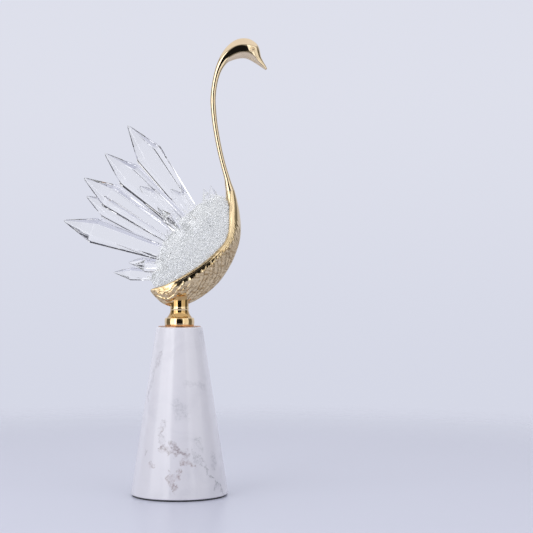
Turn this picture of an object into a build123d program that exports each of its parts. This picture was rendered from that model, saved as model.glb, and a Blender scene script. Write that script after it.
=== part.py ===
"""Crystal swan on a marble cone: one standing ornament, 472 mm tall.

A gilt swan stands on a turned collar above a white marble cone.  The body is an open, boat-shaped
casting.  Its hollow is filled with resin and heaped with crushed glass, and a fan of pointed glass
crystals grows out of the heap in place of wings and tail.  One threaded rod clamps the
marble cone, the disc, the collar and the body together.

Frame: millimetres, +Z up, the swan faces +X, Y runs across it.  The origin is the centre of the
pad's underside, on the table.
"""

from math import cos, pi, radians, sin
import os

from build123d import *

os.makedirs("parts", exist_ok=True)

# ---- driving dimensions -------------------------------------------------------------------
PAD_T = 1.5                     # felt pad under the marble
PAD_R = 48.5
PAD_EDGE = 0.4
CONE_BOTTOM_R = 50.0            # marble cone
CONE_TOP_R = 23.6
CONE_TOP_Z = 173.0
CONE_TOP_ROUND = 1.6
CONE_FOOT_ROUND = 1.2
RECESS_R = 14.0                 # pocket under the marble for the lower nut
RECESS_TOP_Z = 19.0
DISC_R = 21.8                   # thin brass disc between the marble and the collar
DISC_T = 0.8
DISC_EDGE = 0.25

COLLAR_FOOT_R = 14.9            # turned collar: a rounded foot band
COLLAR_BAND_R = 15.4
COLLAR_BAND_TOP_R = 14.6
COLLAR_BAND_TOP_Z = 182.2
COLLAR_STEP = 1.1               # then a step in, a cove, a bead at the waist and a cup
COLLAR_WAIST_R = 9.4
COLLAR_BEAD_R = 9.8
COLLAR_BEAD_LOW_Z = 190.2
COLLAR_BEAD_HIGH_Z = 193.4
COLLAR_CUP_R = 9.9             # the cup opens out under the body
COLLAR_CUP_Z = 200.5
COLLAR_TOP_R = 12.6
COLLAR_TOP_Z = 206.0

ROD_R = 2.95                    # M6 rod, at the outside of its thread
ROD_BOTTOM_Z = 8.0
ROD_TOP_Z = 213.5
ROD_CHAMFER = 0.6
ROD_HOLE_R = 3.3
NUT_FLATS = 10.0                # M6 hexagon nut
NUT_H = 5.0
NUT_BEVEL = 1.7                 # slope of the turned corners, out for each step down
WASHER_R = 5.9
WASHER_T = 1.4
LOWER_WASHER_R = 11.0
LOWER_WASHER_T = 1.8
SPRING_WASHER_R = 5.4
SPRING_WASHER_T = 1.6
SPRING_WASHER_SLIT = 0.9
BOSS_R = 6.6                    # cast seat for the upper nut inside the body
BOSS_TOP_Z = 204.0

WALL = 2.4                      # casting wall, at the rim
RIM_CLEAR = 9.0                 # how far the hollow's cutter stands proud of the rim
TENON_R = 1.8                   # neck tenon, brazed into the body
TENON_LEN = 12.0

# The body, section by section from the neck to the tail.  Each row is the middle of the rim
# (x, z), the keel below it (x, z), the half width across Y, the depth of the hollow (negative
# where the back still bulges out, as the neck does) and how sharp the keel is, 0 to 1.
BODY = [
    (52.8, 313.3, 57.4, 314.4, 4.7, -4.7, 0.0),
    (51.8, 302.0, 60.3, 303.5, 7.2, -2.6, 0.1),
    (51.0, 290.4, 62.9, 291.2, 11.3, 5.0, 0.3),
    (50.6, 278.0, 64.3, 277.5, 15.3, 9.4, 0.5),
    (48.7, 267.4, 63.5, 264.0, 18.0, 11.9, 0.7),
    (44.2, 258.3, 59.9, 251.2, 20.0, 14.4, 0.85),
    (36.5, 250.2, 53.3, 236.4, 21.2, 18.8, 1.0),
    (26.1, 240.8, 42.4, 220.2, 21.6, 23.2, 1.0),
    (14.5, 232.2, 28.2, 207.1, 20.8, 25.6, 1.0),
    (3.5, 225.4, 12.2, 197.7, 18.6, 26.2, 1.0),
    (-6.3, 219.9, -4.0, 193.2, 15.6, 24.0, 1.0),
    (-15.7, 215.4, -16.6, 196.6, 11.2, 16.2, 1.0),
    (-23.6, 213.0, -25.1, 203.7, 6.4, 6.8, 1.0),
    (-29.5, 211.4, -30.1, 209.5, 1.6, 0.8, 1.0),
]
FIRST_HOLLOW = 2                # the hollow runs from this section
LAST_HOLLOW = 12                # to this one
ARC_STEPS = (0.15, 0.4, 0.7)    # where half a section is pinned, from the keel at 0 to the rim at 1

# The neck and head, from the seam with the body to the tip of the bill: centre (x, z), half
# thickness in the plane of the swan, half width across it.
NECK = [
    (52.8, 313.3, 4.7, 4.7),
    (49.8, 325.8, 3.0, 3.2),
    (46.4, 337.7, 2.65, 2.7),
    (40.7, 361.4, 2.6, 2.6),
    (36.7, 385.1, 2.7, 2.7),
    (35.0, 407.6, 2.8, 2.8),
    (36.2, 422.0, 2.8, 2.8),
    (40.0, 437.6, 3.4, 3.3),
    (46.5, 449.6, 5.2, 4.4),
    (54.4, 457.3, 7.6, 5.8),
    (62.3, 461.2, 9.8, 7.0),
    (69.6, 461.5, 10.6, 7.6),
    (75.2, 458.9, 9.6, 7.0),
    (78.5, 455.0, 7.2, 5.8),
    (81.6, 450.7, 4.9, 4.3),
    (85.5, 446.5, 3.2, 3.1),
    (88.8, 443.2, 2.1, 2.3),
    (90.8, 441.0, 1.4, 1.5),
]

# The heap of crushed glass: slices square to the line from the tail to the neck.  Each row is
# the distance along that line, the level of the rim, the top of the heap and the half width.
HEAP_TAIL = (-25.6, 219.2)
HEAP_NECK = (44.6, 303.6)
HEAP_SKIRT = 7.0                # how far a slice goes below the rim before the body cuts it off
HEAP_FULLNESS = 0.4             # share of the height that is straight sided, below the dome
HEAP = [
    (-2.0, -6.0, 0.0, 3.6),
    (8.7, -12.5, 8.0, 9.6),
    (24.0, -18.5, 13.5, 15.2),
    (41.4, -23.7, 19.5, 18.0),
    (61.0, -27.0, 19.8, 18.6),
    (81.7, -26.5, 18.5, 15.6),
    (95.0, -20.5, 12.5, 11.6),
    (105.0, -11.5, 7.5, 7.2),
    (112.0, -6.5, 2.5, 3.4),
]

# The crystals: tip, root, half width at the shoulder and at the root, length of the point.
FLAT = 0.80                     # a crystal is a little thinner across Y than it is wide
LARGE = [
    ((-55.6, -7.0, 380.6), (17.0, -1.5, 284.0), 14.8, 7.6, 38.5),
    ((-80.0, -15.0, 350.8), (8.5, -11.5, 273.5), 13.8, 7.6, 35.5),
    ((-100.4, -6.0, 326.0), (1.0, -1.5, 259.0), 13.6, 7.6, 34.5),
    ((-121.5, -13.0, 282.0), (-11.0, -8.5, 246.5), 13.5, 7.8, 34.5),
    ((-96.0, 17.0, 308.5), (-8.0, 12.5, 256.0), 10.8, 6.6, 27.0),
    ((-42.0, 19.0, 320.5), (8.5, 13.0, 271.0), 9.8, 6.4, 18.0),
    ((-10.0, 16.0, 317.5), (22.0, 12.0, 279.0), 8.2, 5.6, 14.0),
]
SMALL = [
    ((24.0, -6.0, 316.0), (34.0, -5.0, 286.0), 5.4, 4.4, 12.5),
    ((33.0, 5.0, 320.0), (40.0, 5.0, 292.0), 5.2, 4.2, 12.5),
    ((-22.5, -28.0, 293.0), (4.0, -15.5, 261.0), 6.0, 4.0, 12.5),
    ((6.0, -24.5, 290.5), (18.5, -17.0, 267.0), 4.8, 3.8, 11.0),
    ((-49.5, -15.0, 237.0), (-10.0, -9.0, 233.0), 6.6, 4.6, 13.5),
    ((-69.0, -2.0, 229.0), (-13.0, -2.0, 225.0), 6.9, 4.6, 18.5),
    ((-12.0, 30.0, 281.0), (4.5, 16.5, 252.0), 5.6, 4.0, 13.0),
    ((9.0, 26.0, 291.0), (19.0, 16.0, 265.0), 4.8, 3.6, 11.0),
    ((-52.0, 15.0, 239.0), (-11.0, 9.0, 238.0), 6.0, 4.2, 14.0),
    ((27.5, -20.5, 296.0), (30.0, -12.0, 271.0), 4.4, 3.6, 11.0),
    ((31.0, 20.0, 296.0), (31.0, 12.0, 271.0), 4.4, 3.6, 11.0),
]
CRYSTAL_SIDES = 6


# ---- helpers -------------------------------------------------------------------------------
def finish(piece, label):
    """Names a piece and writes it."""
    piece.part.label = label
    export_step(piece.part, f"parts/{label}.step")


def rings(piece):
    """The piece's round edges, smallest first."""
    return piece.edges().filter_by(GeomType.CIRCLE).sort_by(SortBy.RADIUS)


def body_plane(row):
    """The plane of a body section: X across the swan, Y from the rim down to the keel."""
    rim_x, rim_z, keel_x, keel_z = row[:4]
    down = Vector(keel_x - rim_x, 0, keel_z - rim_z).normalized()
    return Plane(origin=(rim_x, 0, rim_z), x_dir=(0, 1, 0), z_dir=Vector(0, 1, 0).cross(down))


def arc_points(half_width, depth, keel):
    """Points of a section's lower curve, from rim to rim; keel runs from an ellipse to a V."""
    steps = [-1.0, *[-step for step in reversed(ARC_STEPS)], 0.0, *ARC_STEPS, 1.0]
    round_part = [(1 - keel) * cos(pi / 2 * step) for step in steps]
    sharp_part = [keel * (1 - abs(step)) for step in steps]
    return [
        (half_width * sin(pi / 2 * step), depth * (soft + sharp))
        for step, soft, sharp in zip(steps, round_part, sharp_part)
    ]


def hull():
    """The body as if it weren't hollow."""
    with BuildPart() as shape:
        for row in BODY:
            depth = (Vector(row[2], row[3]) - Vector(row[0], row[1])).length
            back = min(row[5], -0.05)
            with BuildSketch(body_plane(row)):
                with BuildLine():
                    outer = Spline(*arc_points(row[4], depth, row[6]))
                    ThreePointArc(outer @ 1, (0, back), outer @ 0)
                make_face()
        loft()
    return shape.part


def hollow():
    """The space inside the casting, standing proud of the rim so that it cuts clean through."""
    with BuildPart() as shape:
        for row in BODY[FIRST_HOLLOW:LAST_HOLLOW + 1]:
            half = row[4] - min(WALL, 0.3 * row[4])
            with BuildSketch(body_plane(row)):
                with BuildLine():
                    inner = Spline(*arc_points(half, row[5], row[6]))
                    Polyline(inner @ 1, (half, -RIM_CLEAR), (-half, -RIM_CLEAR), inner @ 0)
                make_face()
        loft()
    return shape.part


def neck_plane(index):
    """The plane square to the neck's line at one of its sections."""
    x, z = NECK[index][:2]
    before = NECK[max(index - 1, 0)]
    after = NECK[min(index + 1, len(NECK) - 1)]
    along = Vector(after[0] - before[0], 0, after[1] - before[1])
    return Plane(origin=(x, 0, z), x_dir=(0, 1, 0), z_dir=along)


def crystal(tip, root, half_shoulder, half_root, point):
    """A glass crystal that widens from its root to a shoulder and ends in a point."""
    along = Vector(*tip) - Vector(*root)
    foot = Plane(origin=root, x_dir=along.cross(Vector(0, 1, 0)), z_dir=along)
    corners = [radians(360 / CRYSTAL_SIDES * number) for number in range(CRYSTAL_SIDES)]
    with BuildPart() as glass:
        for height, half in ((0.0, half_root), (along.length - point, half_shoulder)):
            with BuildSketch(foot.offset(height)):
                Polygon(*[(half * cos(a), FLAT * half * sin(a)) for a in corners], align=None)
        loft(ruled=True)
        shoulder = glass.faces().sort_by(Axis(root, along))[-1]
        loft(sections=[shoulder, Vertex(*tip)], ruled=True)
    return glass


def hex_nut(bottom_z):
    """An M6 nut with its corners turned off."""
    with BuildPart() as nut:
        with BuildSketch(Plane.XY.offset(bottom_z)):
            RegularPolygon(NUT_FLATS / 2, 6, major_radius=False)
        extrude(amount=NUT_H)
        with Locations((0, 0, bottom_z)):
            Cone(
                NUT_FLATS / 2 + NUT_H * NUT_BEVEL, NUT_FLATS / 2, NUT_H,
                align=(Align.CENTER, Align.CENTER, Align.MIN), mode=Mode.INTERSECT,
            )
        with Locations((0, 0, bottom_z + NUT_H)):
            Hole(ROD_R)
    return nut


def washer(bottom_z, radius, thickness):
    """A flat ring on the rod."""
    with BuildPart() as ring:
        with BuildSketch(Plane.XY.offset(bottom_z)):
            Circle(radius)
            Circle(ROD_R, mode=Mode.SUBTRACT)
        extrude(amount=thickness)
    return ring


# ---- the stand -----------------------------------------------------------------------------
with BuildPart() as base_pad:
    with BuildSketch():
        Circle(PAD_R)
    extrude(amount=PAD_T)
    fillet(base_pad.edges().group_by(Axis.Z)[0], PAD_EDGE)
finish(base_pad, "base_pad")

with BuildPart() as marble_base:
    with BuildSketch(Plane.XZ):
        with BuildLine():
            Polyline(
                (ROD_HOLE_R, RECESS_TOP_Z), (RECESS_R, RECESS_TOP_Z), (RECESS_R, PAD_T),
                (CONE_BOTTOM_R, PAD_T), (CONE_TOP_R, CONE_TOP_Z), (ROD_HOLE_R, CONE_TOP_Z), close=True,
            )
        make_face()
    revolve(axis=Axis.Z)
    fillet(rings(marble_base)[-1], CONE_FOOT_ROUND)
    fillet(rings(marble_base).group_by(Axis.Z)[-1].sort_by(SortBy.RADIUS)[-1], CONE_TOP_ROUND)
finish(marble_base, "marble_base")

with BuildPart() as brass_disc:
    with BuildSketch(Plane.XY.offset(CONE_TOP_Z)):
        Circle(DISC_R)
        Circle(ROD_HOLE_R, mode=Mode.SUBTRACT)
    extrude(amount=DISC_T)
    fillet(rings(brass_disc)[-2:], DISC_EDGE)
finish(brass_disc, "brass_disc")

COLLAR_FOOT_Z = CONE_TOP_Z + DISC_T
body_hull = hull()
with BuildPart() as collar:
    with BuildSketch(Plane.XZ):
        with BuildLine():
            band = ThreePointArc(
                (COLLAR_FOOT_R, COLLAR_FOOT_Z), (COLLAR_BAND_R, (COLLAR_FOOT_Z + COLLAR_BAND_TOP_Z) / 2),
                (COLLAR_BAND_TOP_R, COLLAR_BAND_TOP_Z),
            )
            step = Line(band @ 1, (COLLAR_BAND_TOP_R - COLLAR_STEP, COLLAR_BAND_TOP_Z))
            cove = Spline(
                step @ 1, (COLLAR_WAIST_R, COLLAR_BEAD_LOW_Z), tangents=((-0.9, 1), (-0.1, 1)),
            )
            bead = ThreePointArc(
                cove @ 1, (COLLAR_BEAD_R, (COLLAR_BEAD_LOW_Z + COLLAR_BEAD_HIGH_Z) / 2),
                (COLLAR_WAIST_R, COLLAR_BEAD_HIGH_Z),
            )
            cup = Spline(bead @ 1, (COLLAR_CUP_R, COLLAR_CUP_Z), (COLLAR_TOP_R, COLLAR_TOP_Z))
            Polyline(
                cup @ 1, (ROD_HOLE_R, COLLAR_TOP_Z),
                (ROD_HOLE_R, COLLAR_FOOT_Z), band @ 0,
            )
        make_face()
    revolve(axis=Axis.Z)
    add(body_hull, mode=Mode.SUBTRACT)
    collar_solids = collar.solids().sort_by(SortBy.VOLUME)
    for scrap in collar_solids[:-1]:
        add(scrap, mode=Mode.SUBTRACT)
finish(collar, "collar")

# ---- the body ------------------------------------------------------------------------------
body_hollow = hollow()
with BuildPart() as boss:
    with BuildSketch():
        Circle(BOSS_R)
    extrude(amount=BOSS_TOP_Z)
    add(body_hull, mode=Mode.INTERSECT)
NECK_SEAM = neck_plane(0)
with BuildPart() as tenon:
    with BuildSketch(NECK_SEAM):
        Circle(TENON_R)
    extrude(amount=-TENON_LEN)

with BuildPart() as body_shell:
    add(body_hull)
    add(body_hollow, mode=Mode.SUBTRACT)
    add(boss.part)
    with Locations((0, 0, BOSS_TOP_Z)):
        Hole(ROD_HOLE_R)
    add(tenon.part, mode=Mode.SUBTRACT)
finish(body_shell, "body_shell")

with BuildPart() as neck_and_head:
    for index, row in enumerate(NECK):
        with BuildSketch(neck_plane(index)):
            Ellipse(row[3], row[2])
    loft()
    add(body_hull, mode=Mode.SUBTRACT)
    add(tenon.part)
finish(neck_and_head, "neck_and_head")

# ---- what clamps the stand and the body together ----------------------------------------------
with BuildPart() as threaded_rod:
    with BuildSketch(Plane.XY.offset(ROD_BOTTOM_Z)):
        Circle(ROD_R)
    extrude(amount=ROD_TOP_Z - ROD_BOTTOM_Z)
    chamfer(rings(threaded_rod), ROD_CHAMFER)
finish(threaded_rod, "threaded_rod")

lower_washer = washer(RECESS_TOP_Z - LOWER_WASHER_T, LOWER_WASHER_R, LOWER_WASHER_T)
finish(lower_washer, "lower_washer")
SPRING_WASHER_Z = RECESS_TOP_Z - LOWER_WASHER_T - SPRING_WASHER_T
with BuildPart() as spring_washer:
    add(washer(SPRING_WASHER_Z, SPRING_WASHER_R, SPRING_WASHER_T).part)
    with Locations((SPRING_WASHER_R, 0, SPRING_WASHER_Z + SPRING_WASHER_T / 2)):
        Box(SPRING_WASHER_R, SPRING_WASHER_SLIT, SPRING_WASHER_T * 2, mode=Mode.SUBTRACT)
finish(spring_washer, "spring_washer")
lower_nut = hex_nut(SPRING_WASHER_Z - NUT_H)
finish(lower_nut, "lower_nut")
upper_washer = washer(BOSS_TOP_Z, WASHER_R, WASHER_T)
finish(upper_washer, "upper_washer")
upper_nut = hex_nut(BOSS_TOP_Z + WASHER_T)
finish(upper_nut, "upper_nut")

# ---- the filling, the heap and the crystals ----------------------------------------------------
with BuildPart() as resin_fill:
    add(body_hollow)
    add(body_hull, mode=Mode.INTERSECT)
    for neighbour in (boss, threaded_rod, upper_washer, upper_nut):
        add(neighbour.part, mode=Mode.SUBTRACT)
finish(resin_fill, "resin_fill")

crystals = {f"large_crystal_{n}": crystal(*size) for n, size in enumerate(LARGE, start=1)}
crystals |= {f"small_crystal_{n}": crystal(*size) for n, size in enumerate(SMALL, start=1)}
for label, piece in crystals.items():
    finish(piece, label)

heap_line = Vector(HEAP_NECK[0] - HEAP_TAIL[0], 0, HEAP_NECK[1] - HEAP_TAIL[1])
heap_start = Plane(origin=(HEAP_TAIL[0], 0, HEAP_TAIL[1]), x_dir=(0, 1, 0), z_dir=heap_line)
with BuildPart() as glass_heap:
    for distance, rim, top, half in HEAP:
        with BuildSketch(heap_start.offset(distance)):
            with BuildLine():
                middle = rim + HEAP_FULLNESS * (top - rim)
                dome = EllipticalCenterArc((0, middle), half, top - middle, start_angle=0, arc_size=180)
                Polyline(dome @ 1, (-half, rim - HEAP_SKIRT), (half, rim - HEAP_SKIRT), dome @ 0)
            make_face()
    loft()
    add(body_hull, mode=Mode.SUBTRACT)
    for piece in crystals.values():
        add(piece.part, mode=Mode.SUBTRACT)
finish(glass_heap, "glass_heap")
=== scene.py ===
"""Crystal swan on a marble cone, dressed for its portrait.  Metres, +Z up, the swan faces +X."""

import math
import random

import bmesh
import bpy
from mathutils import Euler, Matrix, Vector, noise
from mathutils.bvhtree import BVHTree


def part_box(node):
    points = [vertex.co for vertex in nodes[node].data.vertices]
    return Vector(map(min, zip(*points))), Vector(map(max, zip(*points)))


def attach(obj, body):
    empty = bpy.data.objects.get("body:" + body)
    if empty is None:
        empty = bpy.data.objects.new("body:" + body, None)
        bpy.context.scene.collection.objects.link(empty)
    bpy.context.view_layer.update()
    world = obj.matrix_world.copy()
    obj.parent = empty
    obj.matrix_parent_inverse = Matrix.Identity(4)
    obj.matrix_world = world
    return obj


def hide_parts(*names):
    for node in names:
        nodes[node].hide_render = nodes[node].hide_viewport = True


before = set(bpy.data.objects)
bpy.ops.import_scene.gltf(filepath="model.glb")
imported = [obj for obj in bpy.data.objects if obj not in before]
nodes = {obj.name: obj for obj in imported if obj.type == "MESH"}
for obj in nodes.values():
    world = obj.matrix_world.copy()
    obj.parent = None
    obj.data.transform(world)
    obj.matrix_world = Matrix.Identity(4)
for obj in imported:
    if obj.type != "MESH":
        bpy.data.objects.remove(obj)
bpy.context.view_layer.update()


# ---- the pad ---------------------------------------------------------------------------------
# A disc of black pressed felt, glued under the cone so that the marble doesn't scratch the table.
# It is die cut, so its edge is square, and its fibres lie every way.
class Value:
    """A shader socket.  Sums on it add Math nodes, and node() adds any other node."""

    def __init__(self, material, socket=None):
        self.material = material
        self.socket = socket

    def node(self, kind, settings, inputs, output=0):
        """Adds a node, sets it up first, fills its sockets and returns one of its outputs."""
        added = self.material.node_tree.nodes.new(kind)
        for name, setting in settings.items():
            setattr(added, name, setting)
        for name, source in inputs.items():
            if isinstance(source, Value):
                self.material.node_tree.links.new(source.socket, added.inputs[name])
            else:
                added.inputs[name].default_value = source
        return Value(self.material, added.outputs[output])

    def maths(self, operation, first, second=0.0, clamp=False):
        settings = {"operation": operation, "use_clamp": clamp}
        return self.node("ShaderNodeMath", settings, {0: first, 1: second})

    def vector_maths(self, operation, first, second, output=0):
        settings = {"operation": operation}
        return self.node("ShaderNodeVectorMath", settings, {0: first, 1: second}, output)

    def __add__(self, other):
        return self.maths("ADD", self, other)

    __radd__ = __add__

    def __sub__(self, other):
        return self.maths("SUBTRACT", self, other)

    def __rsub__(self, other):
        return self.maths("SUBTRACT", other, self)

    def __mul__(self, other):
        return self.maths("MULTIPLY", self, other)

    __rmul__ = __mul__

    def ramp(self, low, high):
        """0 below low, 1 above high, and a smooth climb between them."""
        settings = {"interpolation_type": "SMOOTHSTEP"}
        return self.node("ShaderNodeMapRange", settings, {0: self, 1: low, 2: high})

    def blend(self, first, second):
        """Two colours mixed by this mask."""
        settings = {"data_type": "RGBA"}
        return self.node("ShaderNodeMix", settings, {0: self, 6: first, 7: second}, 2)

    def into(self, socket):
        """Feeds the finish's own shader."""
        shader = self.material.node_tree.nodes["Principled BSDF"]
        self.material.node_tree.links.new(self.socket, shader.inputs[socket])


def new_finish(name, **sockets):
    """A new material with these values on its shader, and its Object coordinates."""
    material = bpy.data.materials.new(name)
    material.use_nodes = True
    shader = material.node_tree.nodes["Principled BSDF"]
    for socket, setting in sockets.items():
        shader.inputs[socket.replace("_", " ")].default_value = setting
    return material, Value(material).node("ShaderNodeTexCoord", {}, {}, "Object")


def grain_of(place, scale, detail=4.0, roughness=0.5, distortion=0.0):
    """Noise with features of about 1 / scale metres."""
    inputs = {"Vector": place, "Scale": scale, "Detail": detail}
    inputs.update({"Roughness": roughness, "Distortion": distortion})
    return place.node("ShaderNodeTexNoise", {}, inputs)


def raise_surface(height, strength, distance):
    """Lets a height in 0 to 1 stand out of the surface by distance."""
    inputs = {"Strength": strength, "Distance": distance, "Height": height}
    height.node("ShaderNodeBump", {}, inputs).into("Normal")


def dress(obj, material):
    """Gives a piece or a CAD node its finish."""
    obj.data.materials.clear()
    obj.data.materials.append(material)


felt, place = new_finish("pressed_felt", Roughness=0.95, Sheen_Weight=0.3)
fibres = grain_of(place, 900.0, 6.0, 0.7)
fibres.ramp(0.35, 0.7).blend((0.012, 0.012, 0.014, 1), (0.06, 0.06, 0.065, 1)).into("Base Color")
raise_surface(fibres, 0.6, 0.0004)
dress(nodes["base_pad"], felt)


# ---- the marble cone -------------------------------------------------------------------------
# A cone of white marble with grey and mauve veins, turned on a lathe and polished all over.  It is
# drilled through for the rod, with a pocket below for the nut, and its edges are eased.
def turn(name, outline, sides=160):
    """A round piece turned about Z from a closed outline of (radius, height) points."""
    mesh = bmesh.new()
    corners = [mesh.verts.new((radius, 0, height)) for radius, height in outline]
    edges = [mesh.edges.new(pair) for pair in zip(corners, corners[1:])]
    bmesh.ops.spin(
        mesh, geom=corners + edges, axis=(0, 0, 1), cent=(0, 0, 0),
        angle=math.tau, steps=sides, use_merge=True,
    )
    bmesh.ops.remove_doubles(mesh, verts=mesh.verts[:], dist=1e-6)
    return as_piece(mesh, name)


def as_piece(mesh, name, smooth=True):
    """Ends a mesh: normals outwards, smooth or flat shading, and an object that rides on the part."""
    bmesh.ops.recalc_face_normals(mesh, faces=mesh.faces[:])
    for face in mesh.faces:
        face.smooth = smooth
    data = bpy.data.meshes.new(name)
    mesh.to_mesh(data)
    mesh.free()
    piece = bpy.data.objects.new(name, data)
    bpy.context.scene.collection.objects.link(piece)
    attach(piece, "root")
    return piece


def arc(centre, radius, start, end, steps):
    """Points of an arc about centre, from start to end in degrees."""
    turns = [math.radians(start + (end - start) * step / steps) for step in range(steps + 1)]
    return [(centre[0] + radius * math.cos(a), centre[1] + radius * math.sin(a)) for a in turns]


cone_low, cone_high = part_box("marble_base")
disc_low, disc_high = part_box("brass_disc")
cone_foot = cone_high.x
cone_top = 0.0236
cone_taper = 0.0264
foot_round, top_round = 0.0012, 0.0016
rod_hole = 0.0033
pocket, pocket_top = 0.0140, 0.0190
lean = math.degrees(math.atan2(cone_taper, cone_high.z - cone_low.z))
outline = [(rod_hole, pocket_top), (pocket, pocket_top), (pocket, cone_low.z)]
outline.append((cone_foot - 0.0030, cone_low.z))
outline += arc((cone_foot - foot_round, cone_low.z + foot_round), foot_round, -90, lean, 6)
outline += arc((cone_top - 0.0014, cone_high.z - top_round), top_round, lean, 90, 8)
outline += [(cone_top - 0.0034, cone_high.z), (rod_hole, cone_high.z), (rod_hole, pocket_top)]
cone = turn("marble_cone", outline)
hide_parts("marble_base")

marble, place = new_finish("veined_marble", Roughness=0.4, Coat_Weight=0.7, Coat_Roughness=0.03)


def streak(place, start, end, width):
    """1 along a line between two points in millimetres, fading to 0 at width from it."""
    ends = [Vector(point) * 0.001 for point in (start, end)]
    run = ends[1] - ends[0]
    from_start = place.vector_maths("SUBTRACT", place, ends[0])
    ahead = place.vector_maths("DOT_PRODUCT", from_start, run, "Value")
    ahead = ahead.maths("MULTIPLY", ahead, 1 / run.length_squared, clamp=True)
    nearest = place.node("ShaderNodeVectorMath", {"operation": "SCALE"}, {0: run, "Scale": ahead})
    off = place.vector_maths("DISTANCE", from_start, nearest, "Value")
    return 1 - off.ramp(width * 0.0003, width * 0.001)


STREAKS = [
    # start, end and width in millimetres, how strong it is, and 0 for grey to 1 for brown
    ((-22, -14, 146), (-24, -15, 128), 4.5, 0.45, 0.3),
    ((-26, -12, 132), (-33, -8, 102), 4.0, 0.5, 0.2),
    ((-22, -32, 76), (-23, -35, 54), 5.0, 0.45, 0.3),
    ((-22, -32, 75), (-22, -33, 71), 2.5, 0.8, 0.8),
    ((-24, -36, 52), (-10, -42, 48), 6.0, 0.8, 0.7),
    ((-38, -22, 46), (-26, -32, 52), 2.5, 0.7, 0.5),
    ((-33, -31, 38), (-30, -33, 36), 4.0, 0.8, 0.8),
    ((-12, -41, 56), (2, -43, 42), 4.0, 0.85, 0.6),
    ((-3, -44, 37), (8, -44, 36), 4.5, 0.75, 0.9),
    ((-8, -45, 29), (-10, -45, 26), 4.5, 0.75, 0.9),
    ((-18, -43, 24), (-11, -47, 15), 5.0, 0.85, 0.8),
    ((6, -42, 47), (20, -40, 33), 2.5, 0.5, 0.1),
    ((19, -41, 33), (42, -27, 3), 2.8, 0.8, 0.1),
    ((30, -34, 14), (31, -35, 8), 4.0, 0.6, 0.1),
    ((32, -31, 42), (31, -32, 36), 8.0, 0.35, 0.0),
    ((12, -40, 60), (13, -39, 54), 7.0, 0.35, 0.0),
    ((-8, -36, 96), (-2, -37, 86), 10.0, 0.3, 0.0),
    ((22, -14, 166), (24, -10, 156), 8.0, 0.35, 0.0),
    ((2, -33, 116), (20, -24, 112), 4.0, 0.25, 0.0),
    ((30, 22, 140), (34, 10, 92), 3.5, 0.5, 0.2),
    ((-20, 30, 110), (6, 38, 80), 3.0, 0.6, 0.3),
    ((-12, 42, 44), (14, 43, 30), 6.0, 0.8, 0.8),
    ((40, 20, 34), (24, 40, 12), 3.5, 0.7, 0.3),
]
clouds = grain_of(place, 22.0, 6.0, 0.6, 0.8).ramp(0.46, 0.72)
bend_by = 0.026
wander = {"Vector": place, "Scale": 85.0, "Detail": 6.0, "Roughness": 0.65}
bend = place.node("ShaderNodeTexNoise", {}, wander, "Color")
bend = place.vector_maths("SUBTRACT", bend, (0.5, 0.5, 0.5))
bend = place.vector_maths("MULTIPLY", bend, (bend_by, bend_by, bend_by))
bent = place.vector_maths("ADD", bend, place)
broken = grain_of(bent, 330.0, 6.0, 0.7).ramp(0.47, 0.56)
vein_grey, vein_rust = (0.27, 0.28, 0.32), (0.32, 0.22, 0.22)
stone_colour = (clouds * 0.42).blend((0.71, 0.70, 0.75, 1), (0.57, 0.565, 0.625, 1))
for start, end, width, strength, brown in STREAKS:
    shade = [grey * (1 - brown) + rust * brown for grey, rust in zip(vein_grey, vein_rust)]
    mark = streak(bent, start, end, width) * (0.25 + broken * 0.75) * strength
    stone_colour = mark.blend(stone_colour, (*shade, 1))
stone_colour.into("Base Color")
(0.36 + clouds * 0.12).into("Roughness")
dress(cone, marble)


# ---- the disc and the collar -----------------------------------------------------------------
# A thin disc of red brass keeps the collar's edge off the marble.  The collar is turned from brass
# bar and gold plated: a rounded foot band, a cove, a bead at the waist and a cup for the body.
# The cove and the cup carry a painted reflection: a deeper brown-orange gold laid into the plating's
# colour.
disc_edge = 0.00025
disc_radius = disc_high.x
outline = [(rod_hole, disc_low.z), (disc_radius - disc_edge, disc_low.z)]
outline += arc((disc_radius - disc_edge, disc_low.z + disc_edge), disc_edge, -90, 0, 3)
outline += arc((disc_radius - disc_edge, disc_high.z - disc_edge), disc_edge, 0, 90, 3)
outline += [(disc_radius - 0.001, disc_high.z), (rod_hole, disc_high.z), (rod_hole, disc_low.z)]
disc = turn("seating_disc", outline, 96)
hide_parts("brass_disc")

red_brass, place = new_finish("red_brass", Metallic=1.0, Roughness=0.22)
stains = grain_of(place, 260.0, 5.0, 0.6)
stains.ramp(0.3, 0.75).blend((0.62, 0.36, 0.24, 1), (0.80, 0.55, 0.38, 1)).into("Base Color")
raise_surface(stains, 0.15, 0.0001)
dress(disc, red_brass)

band_foot = 0.0149
band_out = 0.0154
band_top = 0.1822
step_in, step_up = 0.0017, 0.0002
waist = 0.0094
waist_low, waist_high = 0.1902, 0.1934
bead_out = 0.0004
cup_top = 0.2060
cup_widens, cup_flare = 0.0002, 0.0030
edge = 0.0004
band_low = disc_high.z + edge
cove_low = band_top + step_up
outline = [(rod_hole, disc_high.z), (band_foot - edge, disc_high.z)]
for step in range(13):
    share = step / 12
    swell = math.sin(math.pi * share) ** 0.7 * (band_out - band_foot)
    outline.append((band_foot + swell, band_low + (band_top - edge - band_low) * share))
outline += [(band_foot - 0.0001, band_top - 0.0001), (band_foot - edge, band_top)]
outline += [(band_foot - 0.0013, band_top), (band_foot - 0.0016, cove_low)]
for step in range(1, 17):
    share = step / 16
    narrow = (1 - share) ** 1.9 * (band_foot - step_in - waist)
    outline.append((waist + narrow, cove_low + (waist_low - cove_low) * share))
for step in range(1, 9):
    share = step / 9
    swell = bead_out * math.sin(math.pi * share)
    outline.append((waist + swell, waist_low + (waist_high - waist_low) * share))
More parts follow.
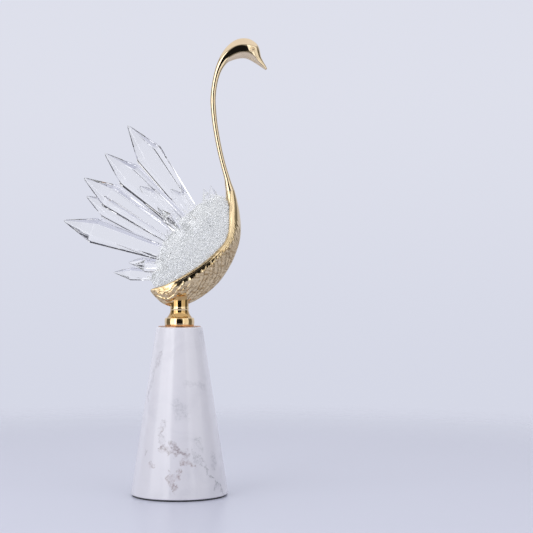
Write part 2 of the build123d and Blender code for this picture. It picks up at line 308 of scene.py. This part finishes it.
for step in range(19):
    share = step / 18
    widen = cup_widens * share + cup_flare * share ** 5
    outline.append((waist + widen, waist_high + (cup_top - waist_high) * share))
outline += [(0.0129, cup_top + 0.0005), (0.0126, cup_top + 0.0012), (0.0110, cup_top + 0.0024)]
outline += [(0.0060, cup_top + 0.0050), (rod_hole, cup_top + 0.0050), (rod_hole, disc_high.z)]
collar = turn("turned_collar", outline, 128)
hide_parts("collar")

gilt, place = new_finish("collar_gilding", Metallic=1.0, Roughness=0.07)
tarnish = grain_of(place, 120.0, 3.0, 0.5)
height = place.node("ShaderNodeSeparateXYZ", {}, {0: place}, "Z")
above_band = height.ramp(band_top - 0.0002, band_top + 0.0006)
above_cove = height.ramp(waist_low - 0.0012, waist_low + 0.0006)
in_cup = height.ramp(waist_high - 0.0004, waist_high + 0.0016)
# Painted reflection: the cove and the cup are tinted brown-orange, standing in for the gold around them
# mirrored there.
painted_reflection = above_band * (1 - above_cove * (1 - in_cup)) * 0.8
plated = tarnish.ramp(0.3, 0.8).blend((0.90, 0.71, 0.44, 1), (0.84, 0.62, 0.34, 1))
painted_reflection.blend(plated, (0.52, 0.31, 0.10, 1)).into("Base Color")
(0.05 + tarnish * 0.07).into("Roughness")
dress(collar, gilt)


# ---- what clamps the stand and the body together -----------------------------------------------
# An M6 rod with a nut and washers at each end, all bright zinc plated steel.  None of it shows
# once the swan stands: the lower nut is in the cone's pocket and the upper one under the resin.
zinc, place = new_finish("zinc_plate", Metallic=1.0, Roughness=0.3)
spangle = grain_of(place, 700.0, 3.0, 0.5)
spangle.ramp(0.3, 0.7).blend((0.58, 0.59, 0.62, 1), (0.74, 0.75, 0.78, 1)).into("Base Color")
raise_surface(spangle, 0.2, 0.0001)
for name in ("threaded_rod", "lower_nut", "lower_washer", "spring_washer", "upper_nut", "upper_washer"):
    dress(nodes[name], zinc)


# ---- the body --------------------------------------------------------------------------------
# An open boat of cast brass, gold plated.  Feathers are chased into its flanks below a smooth,
# rounded rim; towards the neck it is polished plain.
BODY = [
    # rim x, z, keel x, z, half width, hollow, how sharp the keel is, wall; in millimetres
    (52.8, 313.3, 57.4, 314.4, 4.7, -4.7, 0.0, 0.05),
    (51.8, 302.0, 60.3, 303.5, 7.2, -2.6, 0.1, 0.9),
    (51.0, 290.4, 62.9, 291.2, 11.3, 5.0, 0.3, 2.2),
    (50.6, 278.0, 64.3, 277.5, 15.3, 9.4, 0.5, 3.2),
    (48.7, 267.4, 63.5, 264.0, 18.0, 11.9, 0.7, 3.2),
    (44.2, 258.3, 59.9, 251.2, 20.0, 14.4, 0.85, 3.2),
    (36.5, 250.2, 53.3, 236.4, 21.2, 18.8, 1.0, 3.2),
    (26.1, 240.8, 42.4, 220.2, 21.6, 23.2, 1.0, 3.2),
    (14.5, 232.2, 28.2, 207.1, 20.8, 25.6, 1.0, 3.2),
    (3.5, 225.4, 12.2, 197.7, 18.6, 26.2, 1.0, 3.2),
    (-6.3, 219.9, -4.0, 193.2, 15.6, 24.0, 1.0, 3.0),
    (-15.7, 215.4, -16.6, 196.6, 11.2, 16.2, 1.0, 2.7),
    (-23.6, 213.0, -25.1, 203.7, 6.4, 6.8, 1.0, 1.8),
    (-29.5, 211.4, -30.1, 209.5, 1.6, 0.8, 1.0, 0.5),
]
BODY_SECTIONS = 330
FLANK_POINTS = 120
RIM_POINTS = 10
HOLLOW_POINTS = 24
FEATHER_WIDE = 9.0
FEATHER_PEAK = 0.72
BARBS = 4.2


def along(rows, share):
    """A row of sizes at a share of the way along, on a smooth curve through all the rows."""
    place = min(max(share, 0.0), 1.0) * (len(rows) - 1)
    index = min(int(place), len(rows) - 2)
    t = place - index
    before = rows[max(index - 1, 0)]
    after = rows[min(index + 2, len(rows) - 1)]
    return [
        b + 0.5 * t * (c - a + t * (2 * a - 5 * b + 4 * c - d + t * (3 * (b - c) + d - a)))
        for a, b, c, d in zip(before, rows[index], rows[index + 1], after)
    ]


def skin(name, rings):
    """A piece stretched over rings of points, each with as many points, and closed at both ends."""
    mesh = bmesh.new()
    around = len(rings[0])
    bmesh.ops.create_grid(mesh, x_segments=around, y_segments=len(rings) - 1)
    for index, vertex in enumerate(mesh.verts):
        vertex.co = rings[index // (around + 1)][index % (around + 1) % around]
    bmesh.ops.remove_doubles(mesh, verts=mesh.verts[:], dist=1e-7)
    bmesh.ops.holes_fill(mesh, edges=mesh.edges[:])
    return as_piece(mesh, name)


def feather(run, girth, side):
    """Height of the chasing in millimetres, and the share of the way across its feather.

    It is for a distance along the keel from the neck and a height up from the keel.
    """
    sway = 5.5 * noise.noise(Vector((run * 0.045, girth * 0.08, side * 9.0)))
    sway += 1.5 * noise.noise(Vector((run * 0.16, girth * 0.2, side * 4.0)))
    lane_at = (run + 34.0 * math.log((girth + 9.0) / 34.0) + sway) / FEATHER_WIDE
    lane = math.floor(lane_at)
    over = lane_at - lane
    if over < FEATHER_PEAK:
        ridge = math.sin(math.pi / 2 * over / FEATHER_PEAK)
    else:
        ridge = math.cos(math.pi / 2 * (over - FEATHER_PEAK) / (1 - FEATHER_PEAK)) ** 2
    tall = 1.1 + 0.7 * noise.noise(Vector((lane * 3.7, girth * 0.12, side)))
    barb_at = lane_at * BARBS + 0.7 * noise.noise(Vector((run * 0.12, girth * 0.12, 20.0 + side)))
    barb = abs(barb_at - math.floor(barb_at) - 0.5) * 2
    barb_tall = 0.55 + 0.5 * noise.noise(Vector((run * 0.09, girth * 0.09, 30.0 + side)))
    rough = 0.3 * noise.noise(Vector((run * 0.3, girth * 0.3, 9.0 + side)))
    return tall * ridge + barb_tall * math.sin(math.pi * (1 - barb) / 2) + rough, over


rings = []
run = 0.0
for number in range(BODY_SECTIONS + 1):
    rim_x, rim_z, keel_x, keel_z, half, hollow, keel, wall = along(BODY, number / BODY_SECTIONS)
    rim = Vector((rim_x, 0, rim_z))
    bottom = Vector((keel_x, 0, keel_z))
    down = (bottom - rim).normalized()
    depth = (bottom - rim).length
    run += (bottom - last_bottom).length if rings else 0.0
    last_bottom = bottom
    chasing = min(max((run - 30.0) / 34.0, 0.0), 1.0) * min(half / 8.0, 1.0)
    section = []
    for step in range(FLANK_POINTS + 1):
        t = -1 + 2 * step / FLANK_POINTS
        level = (1 - keel) * math.cos(math.pi / 2 * t) + keel * (1 - abs(t))
        across = half * math.sin(math.pi / 2 * t)
        out = Vector((across / half, 0.25 + level)).normalized()
        below_rim = (1 - abs(t)) * (depth + half) * 0.62
        girth = abs(t) * (depth + half) * 0.62
        lift = 0.9 * chasing * min(max(below_rim - 2.4, 0.0) / 3.6, 1.0) * min(girth / 6.0, 1.0)
        if chasing and below_rim > 2.4:
            height, over = feather(run, girth, math.copysign(1, t))
            begin = 6.6 - 3.8 * over
            fade_in = min(max(below_rim - begin, 0.0) / 1.5, 1.0) * min(girth / 4.0, 1.0)
            lift += (height - 1.2) * chasing * fade_in
        section.append((across + out.x * lift, depth * level + out.y * lift))
    for step in range(1, RIM_POINTS):
        bow = math.pi * step / RIM_POINTS
        section.append((half - wall / 2 + wall / 2 * math.cos(bow), -wall * 0.42 * math.sin(bow)))
    inside = half - wall
    for step in range(1, HOLLOW_POINTS):
        t = 1 - 2 * step / HOLLOW_POINTS
        level = (1 - keel) * math.cos(math.pi / 2 * t) + keel * (1 - abs(t))
        section.append((inside * math.sin(math.pi / 2 * t), hollow * level))
    for step in range(1, RIM_POINTS):
        bow = math.pi * (1 - step / RIM_POINTS)
        section.append((-half + wall / 2 + wall / 2 * math.cos(bow), -wall * 0.42 * math.sin(bow)))
    rings.append([(rim + down * drop + Vector((0, across, 0))) * 0.001 for across, drop in section])
body = skin("chased_body", rings)
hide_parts("body_shell")

chased, place = new_finish("body_gilding", Metallic=1.0, Roughness=0.12)
pits = grain_of(place, 420.0, 4.0, 0.6)
# Painted shade: slanting brown streaks on the lower flanks stand in for the shade and dark reflections
# in the chased grooves. The pits are the plating's own fine pitting.
slant = {"Vector": place, "Rotation": (0, math.radians(46), 0), "Scale": (0.16, 1, 1)}
settled = place.node("ShaderNodeMapping", {}, slant)
painted_shade_streaks = grain_of(settled, 520.0, 3.0, 0.55).ramp(0.42, 0.66)
low_down = 1 - place.node("ShaderNodeSeparateXYZ", {}, {0: place}, "Z").ramp(0.245, 0.275)
pits_and_painted_shade = painted_shade_streaks * low_down * 0.85 + pits * 0.15
pits_and_painted_shade.blend((0.82, 0.66, 0.42, 1), (0.42, 0.28, 0.13, 1)).into("Base Color")
(0.08 + pits * 0.10).into("Roughness")
raise_surface(pits, 0.15, 0.0002)
dress(body, chased)


# ---- the neck and head -----------------------------------------------------------------------
# A solid brass casting, polished to a mirror and gold plated, brazed into the top of the body.
# Each eye is a bead in a round ring.
NECK = [
    # x, z, half thickness in the plane of the swan, half width across it; in millimetres
    (52.8, 313.3, 4.7, 4.7),
    (51.0, 320.1, 3.7, 3.8),
    (49.8, 325.8, 3.0, 3.2),
    (46.4, 337.7, 2.65, 2.7),
    (43.3, 349.6, 2.6, 2.6),
    (40.7, 361.4, 2.6, 2.6),
    (38.5, 373.2, 2.65, 2.65),
    (36.7, 385.1, 2.7, 2.7),
    (35.5, 396.9, 2.8, 2.8),
    (35.0, 407.6, 2.8, 2.8),
    (36.0, 419.6, 2.8, 2.8),
    (38.3, 431.4, 3.0, 2.9),
    (41.7, 441.3, 3.7, 3.4),
    (46.9, 450.1, 5.3, 4.4),
    (54.4, 457.3, 7.6, 5.8),
    (62.3, 461.2, 9.8, 7.0),
    (69.6, 461.5, 10.6, 7.6),
    (75.2, 458.9, 9.6, 7.0),
    (78.5, 455.0, 7.2, 5.8),
    (81.6, 450.7, 4.9, 4.3),
    (85.5, 446.5, 3.2, 3.1),
    (88.8, 443.2, 2.1, 2.3),
    (90.5, 441.2, 1.45, 1.7),
]
NECK_SECTIONS = 220
NECK_SIDES = 48
LOOK_AHEAD = 0.022


def neck_middle(share):
    """A point of the neck's line."""
    x, z = along(NECK, share)[:2]
    return Vector((x, 0, z)) * 0.001


aheads = []
backs = []
fronts = []
for number in range(NECK_SECTIONS + 1):
    share = number / NECK_SECTIONS
    thick = along(NECK, share)[2] * 0.001
    ahead = (neck_middle(share + LOOK_AHEAD) - neck_middle(share - LOOK_AHEAD)).normalized()
    up = ahead.cross(Vector((0, 1, 0)))
    aheads.append(ahead)
    backs.append(neck_middle(share) + up * thick)
    fronts.append(neck_middle(share) - up * thick)

# Under the chin the front line doubles back on itself, so it is pulled smooth from there on.
gaps = [(fronts[i] - fronts[i - 1]).dot(aheads[i]) for i in range(1, NECK_SECTIONS + 1)]
tightest = 1 + next(i for i, gap in enumerate(gaps) if gap < 0.0001)
for times in range(60):
    for i in range(tightest - 39, NECK_SECTIONS):
        fronts[i] = (fronts[i - 1] + fronts[i + 1]) / 2

rings = []
for number in range(NECK_SECTIONS + 1):
    wide = along(NECK, number / NECK_SECTIONS)[3] * 0.001
    middle = (backs[number] + fronts[number]) / 2
    turns = [math.tau * side / NECK_SIDES for side in range(NECK_SIDES)]
    reach = (backs[number] - fronts[number]) / 2
    ring = [middle + reach * math.cos(turn) + Vector((0, wide * math.sin(turn), 0)) for turn in turns]
    rings.append(ring)
bill_tip = neck_middle(1.0)
bill_round = 0.0014
for share in (0.9, 0.7, 0.4):
    out_by = aheads[-1] * bill_round * (1 - share ** 2) ** 0.5
    rings.append([bill_tip + out_by + (point - bill_tip) * share for point in rings[NECK_SECTIONS]])
neck = skin("neck_and_head_casting", rings)
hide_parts("neck_and_head")

mirror_gilt, place = new_finish("neck_gilding", Metallic=1.0, Roughness=0.05)
haze = grain_of(place, 90.0, 3.0, 0.5)
haze.ramp(0.3, 0.8).blend((0.86, 0.71, 0.50, 1), (0.81, 0.66, 0.45, 1)).into("Base Color")
(0.035 + haze * 0.04).into("Roughness")
dress(neck, mirror_gilt)

eye_at = Vector((0.0752, 0.0, 0.4599))
bead, lid_out, lid_thick = 0.0015, 0.0024, 0.00045
for side, name in ((-1, "eye_right"), (1, "eye_left")):
    beside = eye_at + Vector((0, 0.03 * side, 0))
    hit, point, normal, face = neck.ray_cast(beside, Vector((0, -side, 0)))
    facing = normal.to_track_quat("Z", "Y").to_matrix().to_4x4()
    mesh = bmesh.new()
    bmesh.ops.create_uvsphere(mesh, u_segments=24, v_segments=14, radius=bead)
    bmesh.ops.scale(mesh, vec=(1, 1, 0.7), verts=mesh.verts[:])
    upright = Matrix.Translation((lid_out, 0, 0)) @ Matrix.Rotation(math.pi / 2, 4, "X")
    lid = bmesh.ops.create_circle(mesh, segments=12, radius=lid_thick, matrix=upright)
    lid_edges = list({edge for vert in lid["verts"] for edge in vert.link_edges})
    bmesh.ops.spin(
        mesh, geom=lid["verts"] + lid_edges, axis=(0, 0, 1), cent=(0, 0, 0),
        angle=math.tau, steps=32, use_merge=True,
    )
    bmesh.ops.remove_doubles(mesh, verts=mesh.verts[:], dist=1e-7)
    bmesh.ops.transform(mesh, matrix=Matrix.Translation(point) @ facing, verts=mesh.verts[:])
    eye = as_piece(mesh, name)
    dress(eye, mirror_gilt)


# ---- the resin -------------------------------------------------------------------------------
# Clouded casting resin, poured into the hollow to bury the nut.  It sets hard, with small bubbles
# in it, and the heap and the crystals' feet are glued on top.
resin, place = new_finish("clouded_resin", Roughness=0.3)
bubbles = grain_of(place, 300.0, 4.0, 0.6)
bubbles.ramp(0.3, 0.7).blend((0.74, 0.76, 0.78, 1), (0.88, 0.90, 0.91, 1)).into("Base Color")
raise_surface(bubbles, 0.3, 0.0003)
dress(nodes["resin_fill"], resin)


# ---- the crystals ----------------------------------------------------------------------------
# Long points of clear lead glass, ground to six flats and a pyramid and then polished, so that
# every edge has a hair-thin bevel.  They are set into the heap while its glue is wet.
crystal_names = sorted(name for name in nodes if "crystal" in name)
clear_glass, place = new_finish(
    "clear_lead_glass", Roughness=0.0, IOR=1.52, Transmission_Weight=1.0,
    Base_Color=(1.0, 1.0, 1.0, 1),
)
large_bevel, small_bevel = 0.0007, 0.0003
for name in crystal_names:
    mesh = bmesh.new()
    mesh.from_mesh(nodes[name].data)
    bmesh.ops.remove_doubles(mesh, verts=mesh.verts[:], dist=1e-6)
    bmesh.ops.dissolve_limit(mesh, angle_limit=0.02, verts=mesh.verts[:], edges=mesh.edges[:])
    width = large_bevel if name.startswith("large") else small_bevel
    bmesh.ops.bevel(
        mesh, geom=mesh.edges[:], offset=width, segments=2, profile=0.5, affect="EDGES", material=-1,
        clamp_overlap=True,
    )
    piece = as_piece(mesh, name + "_cut", smooth=False)
    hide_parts(name)
    dress(piece, clear_glass)
    piece.visible_shadow = False


# ---- the heap of crushed glass ---------------------------------------------------------------
# Clear glass crushed to chips of one or two millimetres, heaped and glued over a core of the
# same.  The chips lie every way, so the heap glitters, and some cling to the crystals' feet.
HEAP_SPOTS = 15500
CRYSTAL_SPOTS = 500
BATCH = 150
uneven = 0.00028
dice = random.Random(47)
frosted, place = new_finish("glued_chips", Roughness=0.3, IOR=1.45)
crumb_size = {"Vector": place, "Scale": 480.0}
crumbs = place.node("ShaderNodeTexVoronoi", {"feature": "F1"}, crumb_size, "Distance")
crumbs.ramp(0.1, 0.9).blend((0.76, 0.77, 0.78, 1), (0.63, 0.645, 0.655, 1)).into("Base Color")
raise_surface(crumbs, 0.6, 0.0010)
dress(nodes["glass_heap"], frosted)
nodes["glass_heap"].visible_shadow = False


def surface_of(names):
    """A search tree over some CAD nodes' surfaces."""
    points = []
    faces = []
    for name in names:
        data = nodes[name].data
        offset = len(points)
        points += [vertex.co.copy() for vertex in data.vertices]
        faces += [[offset + index for index in polygon.vertices] for polygon in data.polygons]
    return BVHTree.FromPolygons(points, faces)


def spots_on(data, count):
    """Random points on a mesh of triangles, each with the normal there."""
    areas = [polygon.area for polygon in data.polygons]
    for polygon in dice.choices(data.polygons, weights=areas, k=count):
        corner, second, third = [data.vertices[index].co for index in polygon.vertices]
        u, v = dice.random(), dice.random()
        if u + v > 1:
            u, v = 1 - u, 1 - v
        yield corner + (second - corner) * u + (third - corner) * v, polygon.normal


crystals_near = surface_of(crystal_names)
casting_near = surface_of(["body_shell", "resin_fill"])
heap_near = surface_of(["glass_heap"])
casting_gap = 0.0006
cling = 0.0032
places = []
for point, normal in spots_on(nodes["glass_heap"].data, HEAP_SPOTS):
    size = dice.uniform(0.0008, 0.0019)
    off_crystals = crystals_near.find_nearest(point)[3] > size * 0.75
    if off_crystals and casting_near.find_nearest(point)[3] > casting_gap:
        places.append((point + normal * dice.uniform(-0.2, 0.5) * size, size))
for name in crystal_names:
    for point, normal in spots_on(nodes[name].data, CRYSTAL_SPOTS):
        ground, up, face, away = heap_near.find_nearest(point)
        if (point - ground).dot(up) > 0.0003 and dice.random() < math.exp(-away / cling):
            size = dice.uniform(0.0008, 0.0018)
            places.append((point + normal * 0.2 * size, size))
mesh = bmesh.new()
for start in range(0, len(places), BATCH):
    batch = bmesh.new()
    for middle, size in places[start:start + BATCH]:
        turned = Euler([dice.uniform(0, math.tau) for axis in range(3)]).to_matrix().to_4x4()
        wide, thick = size * dice.uniform(0.5, 0.9), size * dice.uniform(0.35, 0.8)
        stretch = Matrix.Diagonal((size, wide, thick, 1))
        bmesh.ops.create_cube(batch, size=1.0, matrix=Matrix.Translation(middle) @ turned @ stretch)
    for vertex in batch.verts:
        vertex.co += Vector([dice.uniform(-1, 1) for axis in range(3)]) * uneven
    loose = bpy.data.meshes.new("batch")
    batch.to_mesh(loose)
    batch.free()
    mesh.from_mesh(loose)
    bpy.data.meshes.remove(loose)
chips = as_piece(mesh, "glass_chips", smooth=False)
chips.visible_shadow = False

chip_glass, place = new_finish(
    "crushed_clear_glass", Roughness=0.2, IOR=1.42, Transmission_Weight=0.3,
)
shards = grain_of(place, 600.0, 2.0, 0.5)
shards.ramp(0.35, 0.65).blend((0.85, 0.855, 0.865, 1), (0.73, 0.745, 0.75, 1)).into("Base Color")
dress(chips, chip_glass)


# ---- the studio ------------------------------------------------------------------------------
# A pale table, two tall soft boxes on each side of the camera, one overhead, and a dark room
# behind the camera.  The camera looks level, from a little towards the tail.
TURN = math.radians(-11.3)
look = Vector((-math.sin(TURN), math.cos(TURN), 0))
right = Vector((math.cos(TURN), math.sin(TURN), 0))
camera = bpy.data.objects.new("portrait_camera", bpy.data.cameras.new("portrait_camera"))
camera.data.lens = 101.3
camera.data.sensor_width = 36.0
camera.location = right * 0.0896 - look * 1.545 + Vector((0, 0, 0.235))
camera.rotation_euler = (math.pi / 2, 0, TURN)
bpy.context.scene.collection.objects.link(camera)
bpy.context.scene.camera = camera


def soft_box(name, bearing, distance, height, wide, tall, watts, seen=True):
    """A soft box at a bearing in degrees from the line to the camera, aimed at the swan's middle."""
    angle = math.radians(bearing)
    toward = -look * math.cos(angle) + right * math.sin(angle)
    light = bpy.data.lights.new(name, "AREA")
    light.shape = "RECTANGLE"
    light.size = wide
    light.size_y = tall
    light.energy = watts
    lamp = bpy.data.objects.new(name, light)
    lamp.location = toward * distance + Vector((0, 0, height))
    lamp.rotation_euler = (lamp.location - Vector((0, 0, 0.26))).to_track_quat("Z", "Y").to_euler()
    lamp.visible_camera = False
    lamp.visible_glossy = seen
    bpy.context.scene.collection.objects.link(lamp)


soft_box("left_strip", -29, 1.35, 0.45, 0.38, 1.5, 4.4)
soft_box("left_box", -55, 1.35, 0.45, 0.90, 1.5, 6.6)
soft_box("right_strip", 36, 1.35, 0.45, 0.34, 1.5, 1.9)
soft_box("right_box", 62, 1.35, 0.45, 0.80, 1.5, 3.0)
soft_box("top_box", 180, 0.05, 1.7, 1.6, 1.6, 8.5, seen=False)

# Walls are pale behind the swan and dark behind the camera, where there is a black gap round the
# lens.  The gold mirrors the dark, and the glass shows a black flag held up over its right side.
room = bpy.data.worlds.new("studio_room")
bpy.context.scene.world = room
room.use_nodes = True
direction = Value(room).node("ShaderNodeTexCoord", {}, {}, "Generated")
height_seen = direction.node("ShaderNodeSeparateXYZ", {}, {0: direction}, "Z")
toward_lens = direction.vector_maths("DOT_PRODUCT", direction, -look, "Value")
flag_at = right * 0.63 + Vector((0, 0, 0.78))
flag_side = direction.vector_maths("DOT_PRODUCT", direction, flag_at, "Value")
path = room.node_tree.nodes.new("ShaderNodeLightPath")
by_camera = Value(room, path.outputs["Is Camera Ray"])
through_glass = Value(room, path.outputs["Is Transmission Ray"])
in_gold = Value(room, path.outputs["Is Glossy Ray"])

back_wall = height_seen.ramp(-0.12, 0.14).blend((0.665, 0.685, 0.79, 1), (0.730, 0.745, 0.835, 1))
dark_wall = height_seen.ramp(0.20, 0.52).blend((0.150, 0.140, 0.115, 1), (0.34, 0.33, 0.31, 1))
front_wall = in_gold.blend((0.56, 0.57, 0.61, 1), dark_wall)
ceiling = in_gold.blend((0.72, 0.72, 0.76, 1), (0.93, 0.91, 0.92, 1))
walls = toward_lens.ramp(-0.50, -0.36).blend(back_wall, front_wall)
walls = toward_lens.ramp(0.85, 0.90).blend(walls, (0.01, 0.01, 0.01, 1))
walls = height_seen.ramp(0.52, 0.60).blend(walls, ceiling)
in_glass = flag_side.ramp(0.57, 0.62).blend((0.76, 0.775, 0.86, 1), (0.05, 0.05, 0.06, 1))
sky = by_camera.blend(through_glass.blend(walls, in_glass), back_wall)
background = room.node_tree.nodes["Background"]
room.node_tree.links.new(sky.socket, background.inputs["Color"])

mesh = bmesh.new()
bmesh.ops.create_circle(mesh, cap_ends=True, segments=96, radius=1.6)
table = as_piece(mesh, "studio_table")
table_top, place = new_finish("pale_table", Roughness=0.3, Base_Color=(0.525, 0.54, 0.635, 1))
distance_out = place.vector_maths("LENGTH", place, (0, 0, 0), "Value")
fade = distance_out.ramp(0.50, 1.05)
tree = table_top.node_tree
clear = tree.nodes.new("ShaderNodeBsdfTransparent")
mixed = tree.nodes.new("ShaderNodeMixShader")
tree.links.new(fade.socket, mixed.inputs[0])
tree.links.new(tree.nodes["Principled BSDF"].outputs[0], mixed.inputs[1])
tree.links.new(clear.outputs[0], mixed.inputs[2])
tree.links.new(mixed.outputs[0], tree.nodes["Material Output"].inputs["Surface"])
table.data.materials.append(table_top)

bpy.context.scene.view_settings.view_transform = "Standard"

bpy.context.view_layer.update()
